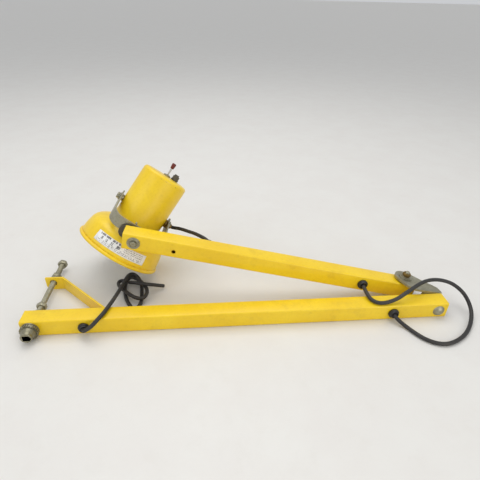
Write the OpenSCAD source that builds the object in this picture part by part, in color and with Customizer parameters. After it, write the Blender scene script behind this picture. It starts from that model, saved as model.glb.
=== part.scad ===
// Two-strut swing-arm dock light, folded and lying on its side.
// Frame: origin where the wall pin crosses the lower arm's centreline,
// +X along the lower arm towards the elbow, +Y along the wall pin, +Z up.
// Units are millimetres.

/* [Arms] */
// outside width and height of both square arm tubes
tube_w = 38.1; // [30:0.1:50]
// wall thickness of the arm tubes
tube_wall = 2.2; // [1.5:0.1:4]
// length of the lower arm behind the wall pin
lower_back = 19.05; // [15:0.05:40]
// length of the lower arm from the wall pin to its elbow end
lower_front = 889; // [500:1:1200]
// length of the upper arm from the tilt bolt to the head bolt
upper_span = 623; // [400:0.1:900]
// length of the upper arm past the tilt bolt
upper_back = 25.5; // [10:0.5:40]
// length of the upper arm past the head bolt
upper_front = 24; // [18:1:40]
// angle the upper arm is raised about the elbow bolt
raise_deg = 12.1; // [0:0.1:60]
// angle the upper arm is swung away from the lower arm
swing_deg = 3.37; // [0:0.01:30]

/* [Wall pin] */
// diameter of the threaded wall pin
pin_d = 12.4; // [8:0.1:20]
// far end of the wall pin
pin_far = 216; // [180:1:260]
// radial clearance of the running fits
run_gap = 0.06; // [0.01:0.01:0.1]
// distance across the flats of the wall pin's nuts
pin_nut_af = 19; // [16:0.5:24]
// thickness of the wall pin's nuts
pin_nut_h = 11; // [8:0.5:14]
// diameter of the serrated ring at the hub
ring_d = 37; // [30:0.5:45]
// number of teeth round the serrated ring
ring_teeth = 24; // [12:1:36]

/* [Brace strap] */
// thickness of the brace strap
strap_t = 4.76; // [3:0.01:6]
// height of the brace strap
strap_h = 33; // [25:0.5:38]
// near face of the strap's ear
ear_y = 132.45; // [100:0.05:160]
// diameter of the oversize hole in the strap's ear
ear_hole_d = 15; // [13:0.5:20]
// where the strap's leg meets the lower arm
foot_x = 140; // [100:1:200]

/* [Elbow] */
// position of the elbow bolt along the lower arm
elbow_x = 869.1; // [600:0.1:1100]
// diameter of the elbow, tilt and head bolts
bolt_d = 9.5; // [8:0.1:12.7]
// diameter of the elbow bolt's domed head
dome_d = 26; // [20:0.5:30]
// thickness of the elbow bracket
bracket_t = 4.76; // [3:0.01:6]
// height of the bracket's plate underside above the elbow bolt
plate_z = 16.9; // [15:0.05:30]
// radius of the bracket plate's round end
plate_r = 24; // [22:0.5:32]
// tilt bolt position along the bracket, from the elbow bolt
tilt_x = -52.7; // [-60:0.1:-40]
// tilt bolt position across the bracket, from the lower arm's centreline
tilt_y = 63.85; // [60:0.05:80]
// gap between the bracket plate and the upper arm, filled by a spacer washer
tilt_gap = 3.4; // [1:0.1:6]

/* [Lamp head] */
// distance from the upper arm's far face to the lamp's tilt axis
yoke_reach = 108; // [70:0.1:130]
// how far the lamp's axis is off the head bolt, along the tilt axis
yoke_shift = 2.9; // [0:0.1:15]
// width of the yoke strap
yoke_w = 29; // [20:0.5:38]
// thickness of the yoke strap
yoke_t = 3.2; // [2:0.1:5]
// half the outside width of the yoke
yoke_half = 65; // [60:0.5:75]
// lean of the lamp's axis from upright
lamp_lean = 41.29; // [0:0.01:80]
// heading of the lamp's lean, from +X towards +Y
lamp_head = 29.45; // [0:0.01:90]
// distance from the shade's rim to the tilt axis
tilt_s = 116.6; // [90:0.1:130]
// distance from the shade's rim to the housing's closed end
head_len = 215; // [180:0.5:240]
// radius of the shade's rolled rim
rim_r = 102.4; // [80:0.1:130]
// radius of the roll along the shade's rim
bead_r = 4; // [2.5:0.1:4.2]
// radius of the lamp housing
house_r = 56.4; // [45:0.1:65]
// thickness of the spun shade
shade_t = 1.8; // [1:0.1:3]

/* [Cords] */
// diameter of the round cords
cord_d = 8.5; // [6:0.1:10]
// diameter of the cord bushings' heads
bush_d = 23; // [18:0.5:26]
// how far the cord bushings stand off the tube
bush_h = 8.5; // [6:0.5:10]
// where the power cord leaves the lower arm
bush_a_x = 105.5; // [60:0.5:200]
// where the elbow cord leaves the lower arm
bush_b_x = 764.5; // [600:0.5:850]
// where the elbow cord enters the upper arm, from the tilt bolt
bush_c_x = 103.5; // [60:0.5:200]
// where the lamp cord leaves the upper arm, from the tilt bolt
bush_d_x = 464.5; // [300:0.5:600]

/* [Hidden] */
half = tube_w / 2;
bolt_r = bolt_d / 2;
yellow = [0.85, 0.66, 0.09];
zinc = [0.52, 0.5, 0.45];
black = [0.06, 0.06, 0.06];

// the upper arm's directions
ca = cos(raise_deg);
sa = sin(raise_deg);
cb = cos(swing_deg);
sb = sin(swing_deg);
tilt_at = [elbow_x + ca * tilt_x, tilt_y, -sa * tilt_x];
arm_z = plate_z - half - tilt_gap;
arm_o = tilt_at + arm_z * [sa, 0, ca];
arm_d = [-cb * ca, sb, cb * sa];
arm_w = [sb * ca, cb, -sb * sa];
arm_h = [sa, 0, ca];
head_o = arm_o + upper_span * arm_d;

// the lamp head's directions
lamp_a = [sin(lamp_lean) * cos(lamp_head), sin(lamp_lean) * sin(lamp_head), cos(lamp_lean)];
tilt_raw = cross(lamp_a, arm_w);
lamp_t = tilt_raw / norm(tilt_raw);
lamp_c = cross(lamp_a, lamp_t);
yoke_q = cross(lamp_t, arm_w);
yoke_o = head_o + half * arm_w;
tilt_o = yoke_o + yoke_reach * arm_w + yoke_shift * lamp_t;
rim_o = tilt_o - tilt_s * lamp_a;

// route of the power cord, from inside the lower arm to its bare end
power_route = [
    [105.5, -13, 0], [105.5, -27.8, 0.2], [110, -33.8, 3], [119, -35.6, 9.5],
    [129.5, -31.5, 17], [137.5, -23.5, 23], [143.6, -13.5, 24.6], [149, 2.9, 24.3],
    [158.1, 36.6, 23],
    [163, 87.2, 12], [166.1, 113.4, 7], [168.9, 138.9, 4.9], [176.6, 156.3, 1.9],
    [189.5, 153.4, -4.1], [201.8, 132.7, -12.8], [206.3, 103.6, -14], [208.6, 74.9, -14],
    [206.7, 54.5, -14], [196, 43.6, -14], [183.9, 59.3, -14], [172.4, 84.1, -14],
    [165.6, 113.5, -14], [164.2, 138.9, -12.8], [169.3, 154.3, -10], [176.4, 156.4, -8.6],
    [193.7, 139.3, -4.1], [210.8, 116.4, -2.1], [220.2, 96.7, -3.1], [219.6, 76.4, -4.1],
    [209.4, 67.9, -4.6], [195.5, 72.7, -4.1], [180.8, 83.5, -2.1], [164.9, 99.4, -1.1],
    [152.6, 116.8, -3.6], [148.8, 133.6, -4.6], [156.5, 138.2, -4.1], [172.1, 127.1, -1.1],
    [193.5, 113, 6.4], [210.7, 106.5, 8], [226, 109.2, 2.9], [240.9, 115.7, -5.1],
    [257.3, 119.2, -11]
];

// route of the elbow cord from inside the lower arm, round the elbow to its split
elbow_low_route = [
    [764.5, -13, 0], [764.5, -27.8, -0.4], [767.5, -33.6, -4], [774.9, -39.5, -9.5],
    [784, -49.5, -13.4], [793.2, -65.3, -14], [804.9, -82.7, -14], [819.8, -95.4, -14],
    [837.9, -102.1, -14], [858.6, -100.2, -14], [882.6, -90.2, -14], [907.6, -72.9, -14],
    [930.9, -48.1, -13], [945.9, -23.7, -7], [949, -4.9, 2.9], [944.1, 10.1, 15],
    [934.3, 18.2, 25.1], [932.1, 19.5, 26.8]
];

// the rest of the elbow cord, from its split over the bracket into the upper arm
elbow_up_route = [
    [931.5, 19.9, 27.2], [929.3, 21.2, 28.9], [915.2, 27.8, 37], [895.7, 32, 43],
    [874.6, 31.8, 47], [853, 28.1, 48], [831, 18.8, 47], [809.3, 7.6, 43], [787.4, -2.5, 36.5],
    [770.1, -8.3, 29.5], [750, -12.2, 25.2], [734.4, -13.8, 24.6], [721.5, -8.5, 24.6],
    [714.5, 5, 25.4], [713, 22, 27], [713.5, 36.9, 27.7], [713.9, 44.4, 27.6], [714.8, 59.9, 27.4]
];

// route of the lamp cord from inside the lamp's gland to its split
lamp_yoke_route = [
    [261.5, 224.2, 100.6], [275.5, 223.3, 90.3], [281.8, 220.6, 90], [289.8, 214.4, 92.6],
    [302.5, 202.4, 96.1], [317.3, 186.4, 99.5], [331.6, 168.8, 104.4], [333.5, 166.4, 104.9]
];

// the rest of the lamp cord, into the upper arm
lamp_arm_route = [
    [333.9, 165.8, 105.1], [335.8, 163.4, 105.6], [346.9, 148, 108.6],
    [358.5, 134.5, 108.5], [365.3, 124.2, 107.3], [365.2, 112.7, 107.4], [364.5, 101.2, 107.6]
];

// vector helpers for the cords
function unit(v) = v / norm(v);
function last(p) = len(p) - 1;
function tangents(p) = [
    for (i = [0 : last(p)]) unit(p[min(i + 1, last(p))] - p[max(i - 1, 0)])
];
function square_to(v, t) = unit(v - (v * t) * t);
function normals(t) = [
    for (i = 0, v = square_to([0.13, 0.21, 0.97], t[0]);
         i < len(t);
         i = i + 1, v = i < len(t) ? square_to(v, t[i]) : v) v
];
function ring(c, v, b, r, n) = [
    for (k = [0 : n - 1]) c + r * (cos(360 * k / n) * v + sin(360 * k / n) * b)
];
function hex_pts(af) = [
    for (k = [0 : 5]) af / sqrt(3) * [cos(60 * k + 30), sin(60 * k + 30)]
];

// a round cord along a route
module cord(p, n = 8) {
    t = tangents(p);
    v = normals(t);
    m = len(p);
    pts = [for (i = [0 : m - 1]) each ring(p[i], v[i], cross(t[i], v[i]), cord_d / 2, n)];
    sides = [
        for (i = [0 : m - 2], k = [0 : n - 1])
            each [
                [i * n + k, (i + 1) * n + k, (i + 1) * n + (k + 1) % n],
                [i * n + k, (i + 1) * n + (k + 1) % n, i * n + (k + 1) % n]
            ]
    ];
    ends = [
        [for (k = [0 : n - 1]) k],
        [for (k = [n - 1 : -1 : 0]) (m - 1) * n + k]
    ];
    polyhedron(points = pts, faces = concat(sides, ends));
}

// places its children in the upper arm's frame, origin on the tilt bolt
module in_upper() {
    translate(arm_o) rotate([0, raise_deg, 0]) rotate([0, 0, -swing_deg]) children();
}

// places its children in the bracket's frame, origin on the elbow bolt
module in_bracket() {
    translate([elbow_x, 0, 0]) rotate([0, raise_deg, 0]) children();
}

// places its children in the yoke's frame: x tilt axis, y away from the arm
module in_yoke() {
    multmatrix([
        [lamp_t[0], arm_w[0], yoke_q[0], yoke_o[0]],
        [lamp_t[1], arm_w[1], yoke_q[1], yoke_o[1]],
        [lamp_t[2], arm_w[2], yoke_q[2], yoke_o[2]],
        [0, 0, 0, 1]
    ]) children();
}

// places its children in the lamp's frame: x tilt axis, z from rim to closed end
module in_lamp() {
    multmatrix([
        [lamp_t[0], lamp_c[0], lamp_a[0], rim_o[0]],
        [lamp_t[1], lamp_c[1], lamp_a[1], rim_o[1]],
        [lamp_t[2], lamp_c[2], lamp_a[2], rim_o[2]],
        [0, 0, 0, 1]
    ]) children();
}

// a cylinder along +Y from y0 to y1
module ycyl(r, y0, y1) {
    translate([0, y0, 0]) rotate([-90, 0, 0]) cylinder(h = y1 - y0, r = r, $fn = 64);
}

// a cylinder along +X from x0 to x1
module xcyl(r, x0, x1) {
    translate([x0, 0, 0]) rotate([0, 90, 0]) cylinder(h = x1 - x0, r = r, $fn = 64);
}

// a square tube along X
module square_tube(x0, x1) {
    difference() {
        translate([x0, -half, -half]) cube([x1 - x0, tube_w, tube_w]);
        translate([x0 - 1, -half + tube_wall, -half + tube_wall])
            cube([x1 - x0 + 2, tube_w - 2 * tube_wall, tube_w - 2 * tube_wall]);
    }
}

// a hexagon nut along Y with a bore
module ynut(af, y0, y1, bore_r) {
    difference() {
        translate([0, y0, 0]) rotate([-90, 0, 0])
            linear_extrude(y1 - y0) polygon(hex_pts(af));
        ycyl(bore_r, y0 - 1, y1 + 1);
    }
}

// a washer along Y
module ywasher(r, y0, y1, bore_r) {
    difference() {
        ycyl(r, y0, y1);
        ycyl(bore_r, y0 - 1, y1 + 1);
    }
}

// a strain-relief bushing on a face at y = 0, standing towards -Y
module bushing() {
    difference() {
        union() {
            ycyl(bush_d / 2, -bush_h + 3.5, 0);
            ycyl(bush_d / 2 - 2.5, -bush_h, -bush_h + 3.5);
            ycyl(8, 0, 6);
        }
        ycyl(cord_d / 2 + 0.25, -bush_h - 1, 7);
    }
}

module lower_tube() {
    color(yellow)
    difference() {
        square_tube(-lower_back, lower_front);
        ycyl(pin_d / 2 + run_gap, -half - 1, half + 1);
        translate([elbow_x, 0, 0]) ycyl(bolt_r + 0.1, -half - 1, half + 1);
        translate([bush_a_x, 0, 0]) ycyl(8.1, -half - 1, 0);
        translate([bush_b_x, 0, 0]) ycyl(8.1, -half - 1, 0);
    }
}

// a plug in the end of a square tube, from x to x + 6
module end_plug(x) {
    plug_w = tube_w - 2 * tube_wall - 0.1;
    color(black) translate([x, -plug_w / 2, -plug_w / 2]) cube([6, plug_w, plug_w]);
}

module lower_end_plug() {
    end_plug(lower_front - 7);
}

module lower_hub_plug() {
    end_plug(-lower_back + 1);
}

module upper_head_plug() {
    in_upper() end_plug(-upper_span - upper_front + 1);
}

module upper_elbow_plug() {
    in_upper() end_plug(upper_back - 7);
}

module brace_strap() {
    leg = strap_t * sqrt(2);
    color(yellow)
    difference() {
        translate([0, 0, -half]) linear_extrude(strap_h) polygon([
            [-17, ear_y], [-17, ear_y + strap_t], [24, ear_y + strap_t],
            [foot_x + leg, half], [foot_x, half], [22, ear_y]
        ]);
        ycyl(ear_hole_d / 2, ear_y - 1, ear_y + strap_t + 1);
        translate([-17, ear_y + strap_t / 2, -half])
            rotate([0, 45, 0]) cube([12, strap_t + 2, 12], center = true);
    }
}

module bushing_a() {
    color(black) translate([bush_a_x, -half, 0]) bushing();
}

module bushing_b() {
    color(black) translate([bush_b_x, -half, 0]) bushing();
}

module elbow_bolt() {
    dome_h = 7.5;
    dome_r = (dome_d * dome_d / 4 + dome_h * dome_h) / (2 * dome_h);
    color(zinc)
    translate([elbow_x, 0, 0])
    rotate([90, 0, 0]) rotate_extrude($fn = 64) polygon(concat(
        [[0, -37.5], [bolt_r, -37.5], [bolt_r, half]],
        [for (k = [0 : 8]) [dome_d / 2 * cos(k * 11.25),
            half + sqrt(dome_r * dome_r - pow(dome_d / 2 * cos(k * 11.25), 2)) - dome_r + dome_h]]
    ));
}

module elbow_washer() {
    y0 = half + 0.4 + bracket_t + 0.4;
    color(zinc) translate([elbow_x, 0, 0]) ywasher(12, y0, y0 + 2, bolt_r + 0.1);
}

module elbow_nut() {
    y0 = half + 0.4 + bracket_t + 2.5;
    color(zinc) translate([elbow_x, 0, 0]) ynut(14.3, y0, y0 + 8, bolt_r + 0.02);
}

module power_cord() {
    color(black) cord(power_route);
}

module elbow_cord_lower() {
    color(black) cord(elbow_low_route);
}

module elbow_cord_upper() {
    color(black) cord(elbow_up_route);
}

module lamp_cord_yoke() {
    color(black) cord(lamp_yoke_route);
}

module lamp_cord_arm() {
    color(black) cord(lamp_arm_route);
}

module pivot_rod() {
    color(zinc) ycyl(pin_d / 2, -36, pin_far);
}

module hub_washer() {
    color(zinc) ywasher(18, -half - 2.4, -half - 0.4, pin_d / 2 + 0.02);
}

module serrated_ring() {
    y1 = -half - 2.4;
    tooth = ring_d * PI / ring_teeth / 2;
    tooth_h = 2.4;
    color(zinc)
    difference() {
        union() {
            ycyl(ring_d / 2 - tooth_h, y1 - 7.5, y1);
            for (k = [0 : ring_teeth - 1])
                rotate([0, k * 360 / ring_teeth, 0])
                    translate([ring_d / 2 - tooth_h - 2, y1 - 7.5, -tooth / 2])
                        cube([tooth_h + 2, 5.5, tooth]);
        }
        ycyl(pin_d / 2 + 0.02, y1 - 9, y1 + 1);
    }
}

module hub_cap() {
    y1 = -half - 9.9;
    color(zinc)
    difference() {
        rotate([90, 0, 0]) rotate_extrude($fn = 64) polygon([
            [0, -y1], [14.5, -y1], [14.5, -y1 + 1.5], [12, -y1 + 8.5],
            [11.5, -y1 + 9.5], [11.5, -y1 + 15.2], [10.5, -y1 + 16.2], [0, -y1 + 16.2]
        ]);
        ycyl(pin_d / 2 + 0.02, -36.02, y1 + 1);
        translate([-6, y1 - 17, -6]) cube([12, 7, 12]);
    }
}

module inner_nut() {
    color(zinc) ynut(pin_nut_af, half + 0.4, half + 0.4 + pin_nut_h, pin_d / 2 + 0.02);
}

module lock_nut() {
    color(zinc) ynut(pin_nut_af, 45, 45 + pin_nut_h, pin_d / 2 + 0.02);
}

module ear_washer() {
    y0 = ear_y + strap_t + 0.4;
    color(zinc) ywasher(12, y0, y0 + 2, pin_d / 2 + 0.02);
}

module ear_nut() {
    y0 = ear_y + strap_t + 2.4;
    color(zinc) ynut(pin_nut_af, y0, y0 + pin_nut_h, pin_d / 2 + 0.02);
}

module ear_lock_nut() {
    y0 = ear_y + strap_t + 2.4 + pin_nut_h;
    color(zinc) rotate([0, 17, 0])
        ynut(pin_nut_af, y0, y0 + pin_nut_h, pin_d / 2 + 0.02);
}

module end_nut() {
    color(zinc) rotate([0, 8, 0])
        ynut(pin_nut_af + 1, 202, 202 + pin_nut_h, pin_d / 2 + 0.02);
}

module elbow_bracket() {
    y0 = half + 0.4;
    top = plate_z + bracket_t;
    color(zinc)
    in_bracket()
    difference() {
        union() {
            translate([0, 0, plate_z]) linear_extrude(bracket_t) polygon([
                [-73, 51], [-62, 30], [-46, y0], [19.6, y0], [20.4, y0 + 7],
                [18.6, 38], [10, 46], [-7, 56.4], [-25, 72], [-41, 84.6]
            ]);
            translate([tilt_x, tilt_y, plate_z])
                cylinder(h = bracket_t, r = plate_r, $fn = 96);
            translate([0, y0, 0]) rotate([90, 0, 0]) translate([0, 0, -bracket_t])
                linear_extrude(bracket_t) polygon([
                    [-24, plate_z + 1], [-26, 9], [-18, -3], [18.2, -1], [19.6, plate_z + 1]
                ]);
            ycyl(18.5, y0, y0 + bracket_t);
        }
        translate([tilt_x, tilt_y, plate_z - 1])
            cylinder(h = bracket_t + 2, r = bolt_r + run_gap, $fn = 64);
        ycyl(bolt_r + run_gap, y0 - 1, y0 + bracket_t + 1);
    }
}

module upper_tube() {
    color(yellow)
    in_upper()
    difference() {
        square_tube(-upper_span - upper_front, upper_back);
        translate([0, 0, -half - 1])
            cylinder(h = tube_w + 2, r = bolt_r + 0.1, $fn = 64);
        translate([-upper_span, 0, 0]) ycyl(bolt_r + 0.1, -half - 1, half + 1);
        translate([-bush_c_x, 0, 0]) ycyl(8.1, -half - 1, 0);
        translate([-bush_d_x, 0, 5]) ycyl(8.1, 0, half + 1);
        translate([-upper_span + 85.4, 0, -4.2]) ycyl(4.5, -half - 1, 0);
    }
}

module bushing_c() {
    color(black) in_upper() translate([-bush_c_x, -half, 0]) bushing();
}

module bushing_d() {
    color(black) in_upper()
        translate([-bush_d_x, half, 5]) rotate([0, 0, 180]) bushing();
}

module tilt_bolt() {
    color(zinc)
    in_upper()
    union() {
        translate([0, 0, -half - 2.4]) linear_extrude(2.4) polygon(hex_pts(14.3));
        translate([0, 0, -half - 1])
            cylinder(h = tube_w + tilt_gap + bracket_t + 17, r = bolt_r, $fn = 64);
    }
}

module tilt_spacer() {
    color(zinc)
    in_upper()
    difference() {
        translate([0, 0, half]) cylinder(h = tilt_gap - 0.4, r = 13, $fn = 64);
        translate([0, 0, half - 1]) cylinder(h = tilt_gap + 2, r = bolt_r + 0.1, $fn = 64);
    }
}

module tilt_washer() {
    z0 = half + tilt_gap + bracket_t + 0.4;
    color(zinc)
    in_upper()
    difference() {
        union() {
            translate([0, 0, z0]) cylinder(h = 1.6, r = 15, $fn = 64);
            translate([0, 0, z0 + 1]) cylinder(h = 2.4, r = 11, $fn = 64);
        }
        translate([0, 0, z0 - 1]) cylinder(h = 6, r = bolt_r + 0.1, $fn = 64);
    }
}

module tilt_nut() {
    z0 = half + tilt_gap + bracket_t + 3.8;
    color([0.5, 0.38, 0.16])
    in_upper()
    difference() {
        translate([0, 0, z0]) linear_extrude(8.2) polygon(hex_pts(16));
        translate([0, 0, z0 - 1]) cylinder(h = 11, r = bolt_r + 0.02, $fn = 64);
    }
}

module head_bolt() {
    color(zinc)
    in_upper()
    translate([-upper_span, 0, 0])
    union() {
        ycyl(bolt_r, -half - 3, half + 17.5);
        translate([0, -half - 6.5, 0]) rotate([-90, 0, 0])
            linear_extrude(4.5) polygon(hex_pts(11.5));
    }
}

module head_washer() {
    color(zinc)
    in_upper()
    translate([-upper_span, 0, 0]) ywasher(14, -half - 2, -half, bolt_r + 0.1);
}

module wing_nut() {
    color(zinc)
    in_upper()
    translate([-upper_span, half + 9.6, 0])
    difference() {
        union() {
            ycyl(7.5, 0, 6.5);
            rotate([0, 75, 0]) translate([-21, 1, -1.3]) cube([42, 5, 2.6]);
        }
        ycyl(bolt_r + 0.02, -1, 8);
    }
}

module yoke_strap() {
    y0 = 5.8;
    x0 = yoke_shift - yoke_half;
    x1 = yoke_shift + yoke_half;
    y2 = yoke_reach + yoke_w / 2;
    c = 30;
    color(zinc)
    in_yoke()
    difference() {
        translate([0, 0, -yoke_w / 2]) linear_extrude(yoke_w) polygon(concat(
            [[x0, y2]],
            [for (k = [0 : 6]) [x0 + c - c * cos(k * 15), y0 + c - c * sin(k * 15)]],
            [for (k = [6 : -1 : 0]) [x1 - c + c * cos(k * 15), y0 + c - c * sin(k * 15)]],
            [[x1, y2], [x1 - yoke_t, y2]],
            [for (k = [0 : 6]) [x1 - c + (c - yoke_t) * cos(k * 15),
                y0 + c - (c - yoke_t) * sin(k * 15)]],
            [for (k = [6 : -1 : 0]) [x0 + c - (c - yoke_t) * cos(k * 15),
                y0 + c - (c - yoke_t) * sin(k * 15)]],
            [[x0 + yoke_t, y2]]
        ));
        ycyl(bolt_r + run_gap, y0 - 1, y0 + yoke_t + 1);
        translate([yoke_shift, yoke_reach, 0]) xcyl(4 + run_gap, 0, yoke_half + 1);
        translate([yoke_shift, yoke_reach, 0]) xcyl(7 + run_gap, -yoke_half - 1, 0);
        for (s = [-1, 1])
            translate([yoke_shift, y2, s * yoke_w / 2])
                rotate([45, 0, 0]) cube([2 * yoke_half + 4, 9, 9], center = true);
    }
}

module swivel_plate() {
    color([0.25, 0.24, 0.22])
    in_upper()
    translate([-upper_span, half + 0.5, 0])
    difference() {
        union() {
            ycyl(15, 0, 5);
            intersection() {
                translate([-22, 0, -1]) ycyl(18, 0, 2.5);
                translate([-50, 0, -15]) cube([60, 5, 40]);
            }
        }
        ycyl(bolt_r + run_gap, -1, 6);
    }
}

module shade() {
    t = shade_t;
    color(yellow)
    in_lamp()
    rotate_extrude($fn = 128) polygon(concat(
        [for (k = [-90 : 15 : 60]) [rim_r - bead_r + bead_r * cos(k), bead_r + bead_r * sin(k)]],
        [
            [98.9, 8.1], [98.4, 9], [96.8, 26], [93.6, 42], [90.4, 50], [85, 57], [78, 62.5],
            [70, 67], [62, 70.5], [58.8, 75], [58.8, 82], [58.8 - t, 82], [58.8 - t, 74.4],
            [60.6, 69.2], [69, 65.3], [76.9, 60.8], [83.6, 55.7], [88.8, 48.8], [91.9, 41.4],
            [95, 25.9], [96.4, 9], [96.4, 1.2]
        ]
    ));
}

module housing() {
    color(yellow)
    in_lamp()
    difference() {
        translate([0, 0, 70]) cylinder(h = head_len - 8 - 70, r = house_r, $fn = 128);
        translate([0, 0, 69]) cylinder(h = head_len - 70, r = house_r - 2, $fn = 128);
        translate([0, 0, tilt_s]) xcyl(4.1, 0, house_r + 1);
        translate([0, 0, tilt_s]) xcyl(7.1, -house_r - 1, 0);
    }
}

module housing_cap() {
    z0 = head_len - 8;
    color(yellow)
    in_lamp()
    rotate_extrude($fn = 128) polygon([
        [7, z0 + 6.4], [47, z0 + 5.2], [52, z0 + 3], [54, z0], [house_r, z0],
        [54.9, z0 + 3.6], [51.6, z0 + 6.8], [47, z0 + 8], [20, z0 + 9.4], [7, z0 + 9.6]
    ]);
}

module label() {
    color([0.86, 0.86, 0.84])
    in_lamp()
    rotate([0, 0, 46.5]) rotate_extrude(angle = 76.5, $fn = 128) polygon([
        [97.7, 17], [98, 17], [97.16, 26.03], [94.17, 41.03], [93.87, 41], [96.86, 26]
    ]);
}

module lamp_socket() {
    color([0.82, 0.8, 0.74])
    in_lamp()
    difference() {
        union() {
            translate([0, 0, 136]) cylinder(h = 46, r = 22, $fn = 64);
            translate([0, 0, 182]) cylinder(h = 8, r = 53.5, $fn = 64);
        }
        translate([0, 0, 130]) cylinder(h = 40, r = 14.6, $fn = 64);
    }
}

module bulb() {
    color([0.9, 0.9, 0.88, 0.5])
    in_lamp()
    rotate_extrude($fn = 96) polygon([
        [0, 47], [20, 48], [36, 51], [44, 55], [47.5, 60], [46.5, 66], [40, 82],
        [30, 102], [20, 122], [14, 134], [0, 134]
    ]);
}

module bulb_base() {
    color([0.6, 0.58, 0.5])
    in_lamp() translate([0, 0, 134]) cylinder(h = 28, r = 13.5, $fn = 64);
}

module tilt_screw() {
    color(zinc)
    in_lamp() translate([0, 0, tilt_s])
    union() {
        xcyl(8, house_r + 0.1, 61.3);
        xcyl(4, 46, 72);
        translate([65.5, 0, 0]) rotate([0, 90, 0]) cylinder(h = 1.6, r = 9.5, $fn = 64);
        translate([67, 0, 0]) rotate([0, 90, 0]) linear_extrude(6) polygon(hex_pts(13));
    }
}

module cord_gland() {
    color([0.45, 0.38, 0.24])
    in_lamp() translate([0, 0, tilt_s])
    difference() {
        union() {
            xcyl(7, -72.5, -48);
            xcyl(10, -61.3, -house_r - 0.1);
            xcyl(6, -75, -72);
        }
        xcyl(cord_d / 2 + 0.1, -76, -47);
    }
}

module gland_washer() {
    color(zinc)
    in_lamp() translate([0, 0, tilt_s])
    difference() {
        xcyl(11, -67, -65.5);
        xcyl(7.05, -68, -64);
    }
}

module gland_nut() {
    color(zinc)
    in_lamp() translate([0, 0, tilt_s])
    difference() {
        translate([-71, 0, 0]) rotate([0, 90, 0]) linear_extrude(4) polygon(hex_pts(18));
        xcyl(7.02, -72, -66);
    }
}

module switch_bushing() {
    z0 = head_len - 8 + 9.6;
    color(zinc)
    in_lamp()
    difference() {
        union() {
            translate([0, 0, z0 - 14]) cylinder(h = 18, r = 6, $fn = 48);
            translate([0, 0, z0 + 0.05]) linear_extrude(2.6) polygon(hex_pts(17));
        }
        translate([0, 0, z0 - 1]) cylinder(h = 8, r = 3.2, $fn = 48);
    }
}

module end_knob() {
    z0 = head_len - 8 + 9.1;
    color([0.3, 0.29, 0.26])
    in_lamp()
    translate([-20, 0, z0])
    union() {
        translate([0, 0, 0.6]) cylinder(h = 4, r = 9, $fn = 48);
        translate([0, 0, 4.6]) linear_extrude(8) polygon(hex_pts(15));
        translate([0, 0, 12.6]) cylinder(h = 3.5, r = 5.5, $fn = 48);
    }
}

module toggle_stalk() {
    z0 = head_len - 8 + 9.6;
    color([0.7, 0.7, 0.68])
    in_lamp() translate([0, 0, z0 + 1])
    union() {
        cylinder(h = 20, r1 = 1.6, r2 = 2.2, $fn = 32);
        xcyl(1.2, -2.6, 2.6);
    }
}

module toggle_tip() {
    z0 = head_len - 8 + 9.6;
    color([0.35, 0.06, 0.04])
    in_lamp()
    translate([0, 0, z0 + 21]) cylinder(h = 14, r1 = 4.2, r2 = 5.2, $fn = 32);
}

lower_tube();
lower_end_plug();
lower_hub_plug();
brace_strap();
bushing_a();
bushing_b();
elbow_bolt();
elbow_washer();
elbow_nut();
power_cord();
elbow_cord_lower();
pivot_rod();
hub_washer();
serrated_ring();
hub_cap();
inner_nut();
lock_nut();
ear_washer();
ear_nut();
ear_lock_nut();
end_nut();
elbow_bracket();
upper_tube();
upper_head_plug();
upper_elbow_plug();
bushing_c();
bushing_d();
tilt_bolt();
tilt_spacer();
tilt_washer();
tilt_nut();
head_bolt();
head_washer();
wing_nut();
elbow_cord_upper();
lamp_cord_arm();
yoke_strap();
swivel_plate();
lamp_cord_yoke();
shade();
housing();
housing_cap();
label();
lamp_socket();
bulb();
bulb_base();
tilt_screw();
cord_gland();
gland_washer();
gland_nut();
switch_bushing();
end_knob();
toggle_stalk();
toggle_tip();
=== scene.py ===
import math

import bmesh
import bpy
from mathutils import Matrix, Vector


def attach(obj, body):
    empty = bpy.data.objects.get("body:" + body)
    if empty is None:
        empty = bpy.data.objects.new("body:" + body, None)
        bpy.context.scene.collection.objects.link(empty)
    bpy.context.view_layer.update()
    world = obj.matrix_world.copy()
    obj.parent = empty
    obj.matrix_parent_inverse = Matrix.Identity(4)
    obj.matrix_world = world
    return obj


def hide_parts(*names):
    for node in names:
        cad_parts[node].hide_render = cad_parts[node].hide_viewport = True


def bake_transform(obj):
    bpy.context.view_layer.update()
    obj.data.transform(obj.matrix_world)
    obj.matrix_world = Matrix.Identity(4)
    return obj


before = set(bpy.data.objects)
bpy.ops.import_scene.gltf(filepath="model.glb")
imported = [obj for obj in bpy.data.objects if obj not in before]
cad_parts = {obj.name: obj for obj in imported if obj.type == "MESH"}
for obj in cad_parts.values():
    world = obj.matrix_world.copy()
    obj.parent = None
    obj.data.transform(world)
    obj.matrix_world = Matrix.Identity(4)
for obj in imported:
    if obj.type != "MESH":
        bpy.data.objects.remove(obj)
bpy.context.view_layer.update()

# Driving dimensions of the light, in millimetres and degrees, as its CAD frame has them.
MM = 0.001
TUBE_W, TUBE_WALL, TUBE_CORNER = 38.1, 2.2, 3.4
HALF = TUBE_W / 2
LOWER_BACK, LOWER_FRONT = 19.05, 889
UPPER_SPAN, UPPER_BACK, UPPER_FRONT = 623, 25.5, 24
RAISE, SWING = math.radians(12.1), math.radians(3.37)
PIN_R, PIN_NEAR, PIN_FAR, PIN_PITCH = 6.2, -36, 216, 1.95
PIN_NUT_AF, PIN_NUT_H = 19, 11
EAR_Y, STRAP_T = 132.45, 4.76
LOCK_NUT_Y, END_NUT_Y = 45, 202
ELBOW_X, BOLT_R, DOME_R, DOME_H, BRACKET_T = 869.1, 4.75, 13, 7.5, 4.76
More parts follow.
